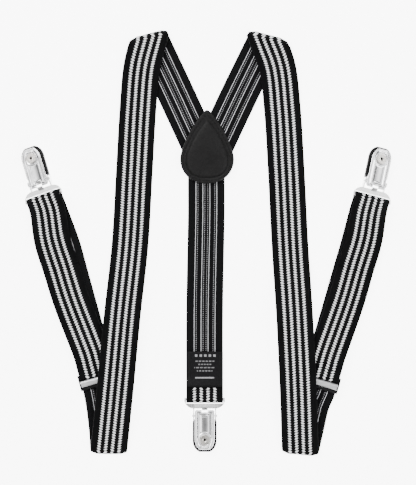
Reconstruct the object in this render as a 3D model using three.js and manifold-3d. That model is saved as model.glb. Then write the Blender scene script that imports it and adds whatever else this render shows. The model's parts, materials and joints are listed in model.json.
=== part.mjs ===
// Y-back clip suspenders laid out flat, face up. Millimetres, +Z up off the surface they lie on.
// Two elastic straps leave a leather patch, fold over at the top, run down to a flat fold and come back up
// through a sliding adjuster to a clip. A third strap runs from the patch to the back clip.

import * as THREE from 'three';
import { mergeVertices } from 'three/addons/utils/BufferGeometryUtils.js';
import Module from 'manifold-3d';

const wasm = await Module();
wasm.setup();

// ---- Driving dimensions ----

const WEB_WIDTH = 25;
const WEB_THICKNESS = 1.2;
const CLEARANCE = 0.3; // between plies, and between metal and webbing
const CUT_GAP = 0.3; // where one stretch of webbing ends and the next begins
const STATION_PITCH = 8; // along the webbing

const PATCH_LENGTH = 50;
const PATCH_HALF_WIDTH = 18.3;
const PATCH_WIDEST = 16.5; // above the patch's lower end
const PATCH_RIM = 3.7;
const PATCH_LEATHER = 1.2;
const PATCH_BACKING = 1;
const PATCH_DOME = 1;

const LABEL_LENGTH = 25;
const LABEL_THICKNESS = 0.4;

const SHEET_METAL = 0.8; // adjuster frame and clip cheeks
const PIN_RADIUS = 0.7;
const PIN_CLEARANCE = 0.15;

const BAIL_BAR_RADIUS = 1.1;
const BAIL_PLATE = 1;
const BAIL_RAIL = 1;
const BAIL_BAND_DEPTH = 3.4;

const JAW_WIDTH = 13.5; // clip lever
const JAW_LENGTH = 26.8;
const REAR_PAD_WIDTH = 16.2;
const REAR_PAD_LENGTH = 22.1;
const PAD_THICKNESS = 2;
const FRONT_PAD_THICKNESS = 1.3;
const JAW_GAP = 0.4;
const TOOTH_PITCH = 1.6;
const TOOTH_HEIGHT = 0.5;
const EYELET_RADIUS = 3.5;
const EYELET_BORE = 0.95;

const ADJUSTER_DEPTH = 10.6; // along the strap
const ADJUSTER_LIP = 2.1;
const ADJUSTER_LEVER_REACH = 2.8; // from its pin to its free edge
const SEWN_LENGTH = 9; // webbing doubled back at the adjuster
const ADJUSTER_TRAVEL = 50;
const SQUARE_TO_BAR = 9; // webbing that meets a bail's bar square on
const STRAIGHT_PLY = ADJUSTER_TRAVEL + 28; // webbing that lies flat and straight above an adjuster

// ---- Heights of the layers above the surface, all to the middle of the webbing ----

const HALF_WEB = WEB_THICKNESS / 2;
const PLY_STEP = WEB_THICKNESS + CLEARANCE;
const ON_SURFACE = HALF_WEB;
const IN_PATCH_LOW = PATCH_BACKING + CLEARANCE + HALF_WEB;
const IN_PATCH_HIGH = IN_PATCH_LOW + PLY_STEP;
const THROUGH_ADJUSTER = SHEET_METAL + CLEARANCE + HALF_WEB;
const SEWN_RETURN = THROUGH_ADJUSTER + PLY_STEP;
const ANCHOR_BAR = 0.8;
const SEWN_TOP = SEWN_RETURN + WEB_THICKNESS + ANCHOR_BAR + 2 * CLEARANCE;
const LOOP_TOP = THROUGH_ADJUSTER + PLY_STEP;
const BAIL_FOLD = BAIL_BAR_RADIUS + CLEARANCE + HALF_WEB;
const BAIL_AXIS = BAIL_FOLD + HALF_WEB;
const BAIL_TOP = BAIL_AXIS + BAIL_FOLD;
const ADJUSTER_PIN = THROUGH_ADJUSTER + HALF_WEB + 2 * CLEARANCE + 2 * PIN_RADIUS;
const OVER_ADJUSTER = ADJUSTER_PIN + ADJUSTER_LEVER_REACH + SHEET_METAL + CLEARANCE + WEB_THICKNESS;
const TOP_FOLD = 2.2; // radius of the soft fold over the shoulder
const BOTTOM_FOLD = 1.3; // radius of the pressed fold at the foot
const SHOULDER_LEAN = 0.26; // the shoulder's fold runs nearly square to the yoke strap

// ---- Layout on the surface ----

// Each front strap has its own places, because the two lie a little differently.
const PATCH_FOOT = [-1.1, 40.6];
const BACK_STRAP = { headX: -1.6, clip: [-2.75, -105.9], clipTurn: 180 };
const LABEL_START = 7.4; // from the back clip's bar
const CLIP_DROP = 8; // a side clip tips this many degrees down from its bar, onto the tip of its rear pad
const CLIP_ROLL = 18; // and leans this many degrees outwards
const FRONT_STRAPS = {
  left: {
    patchEnd: [-5.8, 66],
    patchHeight: IN_PATCH_LOW,
    yoke: [[-15.8, 87.6], [-23, 103.2]],
    shoulder: [-40.3, 139.9],
    front: [[-45.4, 120], [-48, 92], [-50.6, 48], [-53.4, 0], [-58.7, -50], [-63.2, -97]],
    foot: [-67.9, -141.4],
    riser: [[-69, -126], [-71.2, -108]],
    adjuster: [-74.6, -92.6],
    adjusterTurn: 15.3,
    overPly: [[-106.2, 2.2], [-100.2, -17], [-93.4, -38.6]],
    clip: [-111.7, 31.2],
    clipTurn: 18.8,
    clipDrop: CLIP_DROP,
    clipRoll: -CLIP_ROLL,
  },
  right: {
    patchEnd: [4.5, 66.2],
    patchHeight: IN_PATCH_HIGH,
    yoke: [[14.6, 87.8], [21.9, 103.2]],
    shoulder: [39.6, 139.2],
    front: [[46.6, 120], [50, 92], [52.8, 48], [55.2, 0], [58.3, -50], [60.6, -97]],
    foot: [62.2, -141.9],
    riser: [[65.8, -126], [69.8, -109]],
    adjuster: [75.2, -94.3],
    adjusterTurn: -16,
    overPly: [[105.5, 2.2], [99.8, -17], [93.6, -38.6]],
    clip: [110.4, 30.2],
    clipTurn: -14.6,
    clipDrop: CLIP_DROP,
    clipRoll: CLIP_ROLL,
  },
};

// ---- Materials ----

const finish = (color, roughness, metalness) => () =>
  new THREE.MeshStandardMaterial({ color, roughness, metalness });
const WEBBING = finish(0x1a1a1c, 0.85, 0);
const LEATHER = finish(0x2c2a2a, 0.55, 0);
const LABEL_CLOTH = finish(0x111113, 0.6, 0);
const CHROME = finish(0xd6d8da, 0.15, 1);
const BRUSHED_METAL = finish(0xb4b4b6, 0.4, 1);
const BLACK_METAL = finish(0x161618, 0.45, 0.6);
const BLACK_PLASTIC = finish(0x121213, 0.6, 0);

const suspenders = new THREE.Group();

function addPart(name, geometry, material, parent = suspenders) {
  const mesh = new THREE.Mesh(geometry, material());
  mesh.name = name;
  parent.add(mesh);
  return mesh;
}

// ---- Joining and cutting ----

function toSolid(geometry) {
  const bare = geometry.clone();
  bare.deleteAttribute('normal');
  bare.deleteAttribute('uv');
  const merged = mergeVertices(bare);
  const mesh = new wasm.Mesh({
    numProp: 3,
    vertProperties: merged.attributes.position.array,
    triVerts: Uint32Array.from(merged.index.array),
  });
  return new wasm.Manifold(mesh);
}

function toGeometry(solid) {
  const { vertProperties, triVerts } = solid.getMesh();
  const geometry = new THREE.BufferGeometry();
  geometry.setAttribute('position', new THREE.BufferAttribute(vertProperties, 3));
  geometry.setIndex(new THREE.BufferAttribute(triVerts, 1));
  return geometry;
}

const join = (first, ...others) =>
  toGeometry(others.reduce((solid, other) => solid.add(toSolid(other)), toSolid(first)));
const cut = (body, ...cutters) =>
  toGeometry(cutters.reduce((solid, cutter) => solid.subtract(toSolid(cutter)), toSolid(body)));
const common = (one, other) => toGeometry(toSolid(one).intersect(toSolid(other)));

// ---- Plain shapes ----

const polygon = (points) => new THREE.Shape(points.map(([x, y]) => new THREE.Vector2(x, y)));

function plate(shape, bottom, thickness, curveSegments = 8) {
  const geometry = new THREE.ExtrudeGeometry(shape, { depth: thickness, bevelEnabled: false, curveSegments });
  return geometry.translate(0, 0, bottom);
}

// A profile drawn in (y, z) and drawn out along x, from one x to another.
function bar(profile, fromX, toX, curveSegments = 8) {
  const geometry = new THREE.ExtrudeGeometry(profile, {
    depth: toX - fromX,
    bevelEnabled: false,
    curveSegments,
  });
  const axes = new THREE.Matrix4().makeBasis(
    new THREE.Vector3(0, 1, 0),
    new THREE.Vector3(0, 0, 1),
    new THREE.Vector3(1, 0, 0),
  );
  return geometry.applyMatrix4(axes).translate(fromX, 0, 0);
}

function rod(radius, length, y, z, sides = 16) {
  return new THREE.CylinderGeometry(radius, radius, length, sides)
    .rotateZ(Math.PI / 2)
    .translate(0, y, z);
}

function hole(radius, x, y, sides = 16) {
  const height = 40;
  return new THREE.CylinderGeometry(radius, radius, height, sides).rotateX(Math.PI / 2).translate(x, y, 0);
}

const box = (x0, x1, y0, y1, z0, z1) =>
  new THREE.BoxGeometry(x1 - x0, y1 - y0, z1 - z0).translate((x0 + x1) / 2, (y0 + y1) / 2, (z0 + z1) / 2);

// A plate with square ridges of teeth across it, on its top or its underside.
function toothed(length, start, bottom, top, halfWidth, upwards) {
  const count = Math.floor(length / TOOTH_PITCH);
  const pitch = length / count;
  const [root, crest, flat] = upwards
    ? [top - TOOTH_HEIGHT, top, bottom]
    : [bottom + TOOTH_HEIGHT, bottom, top];
  const ridge = [];
  for (let i = 0; i < count; i += 1) {
    ridge.push([start + i * pitch, root], [start + (i + 0.5) * pitch, crest]);
  }
  ridge.push([start + length, root], [start + length, flat], [start, flat]);
  return bar(polygon(ridge), -halfWidth, halfWidth);
}

// ---- Webbing ----

// A station is a point on the webbing's middle with the direction of its width. Where the width runs
// slantwise, as it does along a fold that isn't square, stretch makes up for the slant.
const station = (at, across, stretch = 1) => ({ at, across, stretch });

// A smooth curve through the points in plan, easing from each point's height to the next.
function ply(points, facing) {
  const knots = points.map(([, , z, roll = 0], i) => ({ i, z, roll: THREE.MathUtils.degToRad(roll) }))
    .filter(({ z }) => z !== undefined);
  const plan = points.map(([x, y]) => new THREE.Vector3(x, y, 0));
  const curve = new THREE.CatmullRomCurve3(plan, false, 'centripetal');
  const steps = Math.max(2, Math.round(curve.getLength() / STATION_PITCH));
  const stations = [];
  for (let i = 0; i <= steps; i += 1) {
    const place = curve.getUtoTmapping(i / steps);
    const at = curve.getPoint(place);
    const along = curve.getTangent(place);
    const reached = place * (points.length - 1);
    const after = knots.slice(1).find((knot) => knot.i >= reached - 1e-6) ?? knots.at(-1);
    const before = knots[knots.indexOf(after) - 1];
    const share = THREE.MathUtils.smoothstep(reached, before.i, after.i);
    at.z = THREE.MathUtils.lerp(before.z, after.z, share);
    const roll = THREE.MathUtils.lerp(before.roll, after.roll, share);
    const across = new THREE.Vector3(along.y, -along.x, 0).setLength(Math.cos(roll)).multiplyScalar(facing);
    across.z = -Math.sin(roll);
    stations.push(station(at, across));
  }
  return stations;
}

// Lifts a ply wherever it lies over another one, so that it rests on it.
function restOn(upper, lower) {
  const reach = 1.1 * WEB_WIDTH;
  for (const { at } of upper) {
    for (const below of lower.filter((under) => Math.hypot(at.x - under.at.x, at.y - under.at.y) < reach)) {
      at.z = Math.max(at.z, below.at.z + PLY_STEP);
    }
  }
}

// Turns the webbing over, from the end of one ply to the start of the next. The fold runs between the two
// plies' widths, nearer the next one's as lean grows, and eats into each ply by its reach.
function turnOver(before, after, lean) {
  const last = before.at(-1);
  const first = after[0];
  const across = last.across.clone().lerp(first.across, lean).normalize();
  const slants = [last, first].map((ply) => ply.across.angleTo(across));
  const reaches = slants.map((slant) => (WEB_WIDTH / 2) * Math.tan(slant) + CLEARANCE);
  const incoming = last.at.clone().sub(before.at(-2).at);
  const middle = last.at.clone().lerp(first.at, 0.5);
  const rise = first.at.clone().sub(middle);
  const outward = across.clone().cross(rise).setLength(rise.length());
  outward.multiplyScalar(Math.sign(outward.dot(incoming)));
  const turn = [];
  const steps = 10;
  for (let i = 0; i <= steps; i += 1) {
    const angle = (Math.PI * i) / steps;
    const at = middle.clone().addScaledVector(outward, Math.sin(angle));
    at.addScaledVector(rise, -Math.cos(angle));
    const slant = THREE.MathUtils.lerp(...slants, i / steps);
    turn.push(station(at, across, 1 / Math.cos(slant)));
  }
  return { turn, reaches };
}

// Joins plies into one route with a fold between each two. Marks holds where each fold starts and ends.
function route(plies, leans = []) {
  const stations = [...plies[0]];
  const marks = [];
  plies.slice(1).forEach((next, i) => {
    const { turn, reaches } = turnOver(stations, next, leans[i] ?? 0.5);
    const corner = stations.pop().at;
    while (stations.at(-1).at.distanceTo(corner) < reaches[0]) {
      stations.pop();
    }
    const start = stations.length;
    stations.push(...turn);
    marks.push({ start, end: stations.length - 1 });
    stations.push(...next.slice(1).filter(({ at }) => at.distanceTo(next[0].at) > reaches[1]));
  });
  return { stations, marks };
}

// A solid of the webbing from one station of its route to another. Where it is cut short of the route's own
// end, its end face stands back by half the gap between stretches.
function webbing(stations, { from = 0, to = stations.length - 1, thickness = WEB_THICKNESS } = {}) {
  const positions = [];
  for (let i = from; i <= to; i += 1) {
    const { at, across, stretch } = stations[i];
    const before = stations[Math.max(i - 1, 0)].at;
    const after = stations[Math.min(i + 1, stations.length - 1)].at;
    const along = after.clone().sub(before).normalize();
    const normal = across.clone().cross(along).setLength(thickness / 2);
    const edge = across.clone().multiplyScalar((WEB_WIDTH / 2) * stretch);
    const isHead = i === from && from > 0;
    const isTail = i === to && to < stations.length - 1;
    const middle = at.clone().addScaledVector(along, (CUT_GAP / 2) * (isHead - isTail));
    for (const [side, face] of [[-1, -1], [1, -1], [1, 1], [-1, 1]]) {
      const corner = middle.clone().addScaledVector(edge, side).addScaledVector(normal, face);
      positions.push(...corner.toArray());
    }
  }
  const triangles = [];
  const quad = (a, b, c, d) => triangles.push(a, b, c, a, c, d);
  const last = to - from;
  for (let i = 0; i < last; i += 1) {
    for (let k = 0; k < 4; k += 1) {
      const near = i * 4 + k;
      const beside = i * 4 + ((k + 1) % 4);
      quad(near, near + 4, beside + 4, beside);
    }
  }
  const end = last * 4;
  quad(0, 1, 2, 3);
  quad(end + 3, end + 2, end + 1, end);
  const geometry = new THREE.BufferGeometry();
  geometry.setAttribute('position', new THREE.Float32BufferAttribute(positions, 3));
  geometry.setIndex(triangles);
  return geometry;
}

const lift = (points, height) => points.map(([x, y]) => [x, y, height]);

// ---- Leather patch ----

function teardrop(inset) {
  const half = PATCH_HALF_WIDTH - inset;
  const tip = PATCH_LENGTH - 1.9 * inset;
  const widest = PATCH_WIDEST;
  const shoulder = widest + 0.3 * (tip - widest);
  const blunt = 0.2 * half;
  const shape = new THREE.Shape();
  shape.moveTo(0, inset);
  shape.bezierCurveTo(0.62 * half, inset, half, 0.45 * widest, half, widest);
  shape.bezierCurveTo(half, shoulder, blunt, tip, 0, tip);
  shape.bezierCurveTo(-blunt, tip, -half, shoulder, -half, widest);
  shape.bezierCurveTo(-half, 0.45 * widest, -0.62 * half, inset, 0, inset);
  return shape;
}

const patch = new THREE.Group();
patch.position.set(PATCH_FOOT[0], PATCH_FOOT[1], 0);
suspenders.add(patch);
const patchTop = IN_PATCH_HIGH + HALF_WEB + CLEARANCE;
addPart('patch_backing', plate(teardrop(0), 0, PATCH_BACKING), LEATHER, patch);
addPart('patch_top', plate(teardrop(0), patchTop, PATCH_LEATHER), LEATHER, patch);
const domeFoot = patchTop + PATCH_LEATHER + CUT_GAP;
addPart('patch_dome', plate(teardrop(PATCH_RIM), domeFoot, PATCH_DOME), LEATHER, patch);

// ---- Clip ----

// Local axes: x across the clip, y from the bail's bar to the jaw's tip, z up off the surface.
const bandTop = BAIL_FOLD + HALF_WEB + CLEARANCE;
const bandFoot = bandTop + BAIL_BAND_DEPTH;
const bailHalf = WEB_WIDTH / 2 + CLEARANCE + BAIL_RAIL;
const pivotY = bandFoot + 5;
const pivotZ = SHEET_METAL + 2.8;
const leverTop = pivotY - 3.9;
const jawTip = leverTop + JAW_LENGTH;
const rearPadStart = pivotY + 2.4;
const rearPadBottom = SHEET_METAL + CLEARANCE;
const rearPadTop = rearPadBottom + PAD_THICKNESS;
const frontPadBottom = rearPadTop + JAW_GAP;
const leverBottom = frontPadBottom + FRONT_PAD_THICKNESS + CLEARANCE;
const leverFace = leverBottom + SHEET_METAL;
const lugRadius = 1.7;
const cheekInner = JAW_WIDTH / 2 + CLEARANCE;
const cheekOuter = cheekInner + SHEET_METAL;
const eyeletY = pivotY + 16.3;
const rearRivetY = pivotY + 10.6;
const rivetRadius = 1;
const pinHole = PIN_RADIUS + PIN_CLEARANCE;
const ringHole = EYELET_BORE + SHEET_METAL / 2 + CLEARANCE;

// A jaw's outline: square at the pivot end, drawn in to a narrow flat tip.
function jawOutline(halfWidth, start, end, corner, tipHalf) {
  const shoulder = end - 7.4;
  const shape = new THREE.Shape();
  shape.moveTo(-halfWidth + corner, start);
  shape.lineTo(-halfWidth, start + corner);
  shape.lineTo(-halfWidth, shoulder);
  shape.quadraticCurveTo(-halfWidth + 0.4, end - 2, -tipHalf, end);
  shape.lineTo(tipHalf, end);
  shape.quadraticCurveTo(halfWidth - 0.4, end - 2, halfWidth, shoulder);
  shape.lineTo(halfWidth, start + corner);
  shape.lineTo(halfWidth - corner, start);
  shape.closePath();
  return shape;
}

function bailFrame() {
  const waist = cheekOuter;
  const outline = new THREE.Shape();
  outline.moveTo(-bailHalf, 0);
  outline.lineTo(-bailHalf, bandTop - 1.4);
  outline.quadraticCurveTo(-bailHalf + 1.6, bandFoot - 0.4, -waist, bandFoot);
  outline.lineTo(waist, bandFoot);
  outline.quadraticCurveTo(bailHalf - 1.6, bandFoot - 0.4, bailHalf, bandTop - 1.4);
  outline.lineTo(bailHalf, 0);
  outline.closePath();
  const inner = bailHalf - BAIL_RAIL;
  const eye = polygon([[-inner, 0.1], [inner, 0.1], [inner, bandTop], [-inner, bandTop]]);
  outline.holes.push(new THREE.Path(eye.getPoints()));
  const frame = plate(outline, BAIL_AXIS - BAIL_PLATE / 2, BAIL_PLATE);
  return join(frame, rod(BAIL_BAR_RADIUS, 2 * bailHalf, 0, BAIL_AXIS));
}

// The cheeks carry the pin and join the bail's band to the rear plate, which sits lower.
function cheek(fromX) {
  const low = BAIL_AXIS - BAIL_PLATE / 2;
  const high = BAIL_AXIS + BAIL_PLATE / 2;
  const ear = lugRadius + CUT_GAP;
  const back = pivotY + ear * Math.cos(Math.PI / 12);
  const profile = new THREE.Shape();
  profile.moveTo(bandTop + 1.6, low);
  profile.lineTo(bandFoot + 1.6, 0);
  profile.lineTo(rearPadStart + 1.8, 0);
  profile.lineTo(rearPadStart + 1.8, SHEET_METAL);
  profile.lineTo(back, SHEET_METAL);
  profile.absarc(pivotY, pivotZ, ear, -Math.PI / 12, Math.PI, false);
  profile.lineTo(bandFoot + 1.2, high);
  profile.lineTo(bandTop + 1.6, high);
  profile.closePath();
  return bar(profile, fromX, fromX + SHEET_METAL);
}

const rearPlateOutline = () =>
  jawOutline(JAW_WIDTH / 2 - 0.6, rearPadStart, rearPadStart + REAR_PAD_LENGTH - 1.6, 0.2, 2.8);

function clipBase() {
  const low = BAIL_AXIS;
  const tongue = bar(
    polygon([
      [bandFoot - 1.3, low],
      [bandFoot - 0.1, low],
      [leverTop - 0.05, leverBottom + 0.2],
      [leverTop - 0.6, leverBottom + 0.4],
      [bandFoot - 0.8, low + 1.1],
      [bandFoot - 1.3, low + 0.8],
    ]),
    -1.9,
    1.9,
  );
  const neck = plate(polygon([
    [-cheekOuter, rearPadStart],
    [cheekOuter, rearPadStart],
    [cheekOuter, rearPadStart + 1.8],
    [-cheekOuter, rearPadStart + 1.8],
  ]), 0, SHEET_METAL);
  const rear = plate(rearPlateOutline(), 0, SHEET_METAL);
  return cut(
    join(bailFrame(), cheek(cheekInner), cheek(-cheekOuter), tongue, neck, rear),
    rod(pinHole, 2 * bailHalf, pivotY, pivotZ),
    hole(rivetRadius + PIN_CLEARANCE, 0, rearRivetY),
  );
}

const rearPadOutline = () =>
  jawOutline(REAR_PAD_WIDTH / 2, rearPadStart, rearPadStart + REAR_PAD_LENGTH, 1.4, 3.5);

function rearPad() {
  const teeth = toothed(REAR_PAD_LENGTH, rearPadStart, rearPadBottom, rearPadTop, REAR_PAD_WIDTH / 2, true);
  const headRoom = new THREE.CylinderGeometry(2.1, 2.1, PAD_THICKNESS, 16)
    .rotateX(Math.PI / 2)
    .translate(0, rearRivetY, rearPadBottom + 0.8 + PAD_THICKNESS / 2);
  return cut(
    common(plate(rearPadOutline(), rearPadBottom, PAD_THICKNESS), teeth),
    hole(rivetRadius + PIN_CLEARANCE, 0, rearRivetY),
    headRoom,
  );
}

function turned(profile, sides = 20) {
  const outline = profile.map(([r, z]) => new THREE.Vector2(r, z));
  return new THREE.LatheGeometry(outline, sides).rotateX(Math.PI / 2);
}

function rearRivet() {
  const seat = rearPadBottom + 0.8 + PIN_CLEARANCE;
  const profile = [
    [0, 0.05], [rivetRadius, 0.05], [rivetRadius, seat],
    [1.8, seat], [1.5, seat + 0.5], [0, seat + 0.6],
  ];
  return turned(profile, 16).translate(0, rearRivetY, 0);
}

function hingePin() {
  const end = cheekOuter + PIN_CLEARANCE;
  const head = PIN_RADIUS + 0.5;
  const profile = [
    [0, -end - 0.5], [head - 0.3, -end - 0.4], [head, -end], [PIN_RADIUS, -end],
    [PIN_RADIUS, end], [head, end], [head - 0.3, end + 0.4], [0, end + 0.5],
  ];
  return turned(profile, 12).rotateY(Math.PI / 2).translate(0, pivotY, pivotZ);
}

// The lever's side walls hang from its face and come down round the pin as two lugs.
function leverWall(fromX) {
  const overlap = leverBottom + 0.3;
  const hem = frontPadBottom + 0.5;
  const profile = new THREE.Shape();
  profile.moveTo(leverTop + 0.8, overlap);
  profile.lineTo(pivotY - lugRadius, pivotZ);
  profile.absarc(pivotY, pivotZ, lugRadius, Math.PI, 2 * Math.PI, false);
  profile.lineTo(pivotY + lugRadius, hem);
  profile.lineTo(jawTip - 8.4, hem);
  profile.lineTo(jawTip - 7.4, overlap);
  profile.closePath();
  return bar(profile, fromX, fromX + SHEET_METAL);
}

function clipLever() {
  const half = JAW_WIDTH / 2;
  const rib = (x) => box(x - 0.4, x + 0.4, leverTop + 2, eyeletY + 2.6, leverFace - 0.2, leverFace + 0.35);
  const panel = plate(polygon([
    [-2.8, leverTop + 1.9],
    [2.8, leverTop + 1.9],
    [2.8, eyeletY - EYELET_RADIUS - 1.6],
    [1.6, eyeletY - EYELET_RADIUS - 0.9],
    [-1.6, eyeletY - EYELET_RADIUS - 0.9],
    [-2.8, eyeletY - EYELET_RADIUS - 1.6],
  ]), leverFace - 0.2, 0.5);
  const face = plate(jawOutline(half, leverTop, jawTip, 0.8, 3.2), leverBottom, SHEET_METAL);
  return cut(
    join(face, leverWall(half - SHEET_METAL), leverWall(-half), rib(4.6), rib(-4.6), panel),
    rod(pinHole, JAW_WIDTH + 2, pivotY, pivotZ),
    hole(ringHole, 0, eyeletY),
    box(-2.2, 2.2, leverTop - 1, leverTop + 1.4, leverBottom - 1, leverFace + 1),
  );
}

function frontPad() {
  const half = JAW_WIDTH / 2 - SHEET_METAL - CLEARANCE;
  const start = pivotY + lugRadius + 1.4;
  const end = jawTip - 1.2;
  const outline = jawOutline(half, start, end, 0.6, 2.4);
  const top = frontPadBottom + FRONT_PAD_THICKNESS;
  const teeth = toothed(end - start, start, frontPadBottom, top, half, false);
  return cut(
    common(plate(outline, frontPadBottom, FRONT_PAD_THICKNESS), teeth),
    hole(ringHole, 0, eyeletY),
  );
}

// A turned ring that rivets the front pad under the lever, open down its middle.
function eyelet() {
  const barrel = EYELET_BORE + SHEET_METAL / 2;
  const seat = leverFace + 0.1;
  const foot = frontPadBottom + 0.2;
  const profile = [
    [EYELET_BORE, foot], [barrel, foot], [barrel, seat], [EYELET_RADIUS, seat],
    [EYELET_RADIUS - 0.4, seat + 0.5], [EYELET_BORE + 0.6, seat + 0.5], [EYELET_BORE, seat + 0.2],
    [EYELET_BORE, foot],
  ];
  return turned(profile).translate(0, eyeletY, 0);
}

// Where a clip's bar lies and how the clip is turned about it. A dropped clip stands on its rear pad's tip.
function barPose({ clip: [x, y], clipTurn, clipDrop = 0, clipRoll = 0 }) {
  const [pitch, roll, yaw] = [-clipDrop, clipRoll, clipTurn].map(THREE.MathUtils.degToRad);
  const turn = new THREE.Euler(pitch, roll, yaw, 'ZYX');
  const drops = (outline, z) => outline.getPoints().map((corner) =>
    -new THREE.Vector3(corner.x, corner.y, z - BAIL_AXIS).applyEuler(turn).z);
  const plateDrops = drops(rearPlateOutline(), 0);
  const padDrops = drops(rearPadOutline(), rearPadBottom);
  const height = Math.max(BAIL_AXIS, ...plateDrops, ...padDrops);
  const up = new THREE.Vector3(0, 0, 1).applyEuler(new THREE.Euler(0, roll, yaw, 'ZYX'));
  return { bar: new THREE.Vector3(x, y, height), turn, up };
}

function addClip(name, lay) {
  const { bar: place, turn } = barPose(lay);
  const clip = new THREE.Group();
  clip.position.copy(place);
  clip.rotation.copy(turn);
  suspenders.add(clip);
  const addPiece = (piece, geometry, material) =>
    addPart(`${name}_clip_${piece}`, geometry.translate(0, 0, -BAIL_AXIS), material, clip);
  addPiece('base', clipBase(), CHROME);
  addPiece('rear_pad', rearPad(), BLACK_PLASTIC);
  addPiece('rear_rivet', rearRivet(), CHROME);
  addPiece('pin', hingePin(), CHROME);
  addPiece('lever', clipLever(), CHROME);
  addPiece('front_pad', frontPad(), BLACK_PLASTIC);
  addPiece('eyelet', eyelet(), BRUSHED_METAL);
}

// ---- Adjuster ----

// Local axes: x across the strap, y towards the clip, z up. The origin is the middle of the lever's face.
const frameInner = WEB_WIDTH / 2 + CLEARANCE;
const frameOuter = frameInner + SHEET_METAL;
const leverPinY = 0.6;
const knuckle = PIN_RADIUS + 0.9;
const leverFoot = leverPinY - ADJUSTER_LEVER_REACH;
const lipTop = leverFoot - CLEARANCE;
const frameFoot = lipTop - ADJUSTER_LIP;
const frameHead = frameFoot + ADJUSTER_DEPTH;
const sewnFold = (SEWN_TOP - SEWN_RETURN) / 2;
const sewnFoldY = leverPinY + knuckle + CLEARANCE + HALF_WEB + sewnFold;
const anchorZ = (SEWN_TOP + SEWN_RETURN) / 2;

function adjusterFrame() {
  const back = box(-frameOuter, frameOuter, frameFoot, frameHead, 0, SHEET_METAL);
  const top = ADJUSTER_PIN + PIN_RADIUS + 0.4;
  const lipZ = THROUGH_ADJUSTER + HALF_WEB + CLEARANCE;
  const sideWall = (fromX) => bar(
    polygon([
      [frameFoot + 0.7, 0],
      [frameHead, 0],
      [frameHead, anchorZ + 0.5],
      [leverPinY + 1.3, top],
      [leverFoot, top],
      [frameFoot, lipZ + 1.2],
      [frameFoot, 0.6],
    ]),
    fromX,
    fromX + SHEET_METAL,
  );
  const lip = bar(
    polygon([
      [frameFoot, lipZ],
      [lipTop, lipZ],
      [lipTop, lipZ + 1.6],
      [frameFoot + 0.6, lipZ + 1.6],
      [frameFoot, lipZ + 1],
    ]),
    -frameOuter,
    frameOuter,
  );
  const barFoot = anchorZ - ANCHOR_BAR / 2;
  const anchor = box(-frameOuter, frameOuter, sewnFoldY, frameHead, barFoot, barFoot + ANCHOR_BAR);
  return cut(
    join(back, sideWall(frameInner), sideWall(-frameOuter), lip, anchor),
    rod(pinHole, 2 * frameOuter + 2, leverPinY, ADJUSTER_PIN),
  );
}

// Rolled round its pin at the back, with a row of teeth above the webbing.
function adjusterLever() {
  const top = ADJUSTER_PIN + knuckle;
  const profile = new THREE.Shape();
  profile.moveTo(leverPinY, top);
  profile.lineTo(leverFoot + 0.5, top);
  profile.lineTo(leverFoot, top - 0.5);
  profile.lineTo(leverFoot, top - 1);
  profile.lineTo(leverPinY - knuckle, ADJUSTER_PIN);
  profile.absarc(leverPinY, ADJUSTER_PIN, knuckle, Math.PI, 2.5 * Math.PI, false);
  const half = frameInner - CLEARANCE;
  return cut(bar(profile, -half, half), rod(pinHole, 2 * half + 2, leverPinY, ADJUSTER_PIN));
}

function addAdjuster(name, [x, y], turn) {
  const adjuster = new THREE.Group();
  adjuster.position.set(x, y, 0);
  adjuster.rotation.z = THREE.MathUtils.degToRad(turn);
  suspenders.add(adjuster);
  addPart(`${name}_adjuster_frame`, adjusterFrame(), BLACK_METAL, adjuster);
  const pin = rod(PIN_RADIUS, 2 * frameOuter, leverPinY, ADJUSTER_PIN, 12);
  addPart(`${name}_adjuster_pin`, pin, CHROME, adjuster);
  addPart(`${name}_adjuster_lever`, adjusterLever(), BRUSHED_METAL, adjuster);
  const sewnEnd = sewnFoldY + SEWN_LENGTH;
  const under = ply([[0, sewnEnd, SEWN_RETURN], [0, sewnFoldY, SEWN_RETURN]], -1);
  const over = ply([[0, sewnFoldY, SEWN_TOP], [0, sewnEnd, SEWN_TOP]], 1);
  addPart(`${name}_sewn_end`, webbing(route([under, over]).stations), WEBBING, adjuster);
}

// ---- Front straps ----

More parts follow.
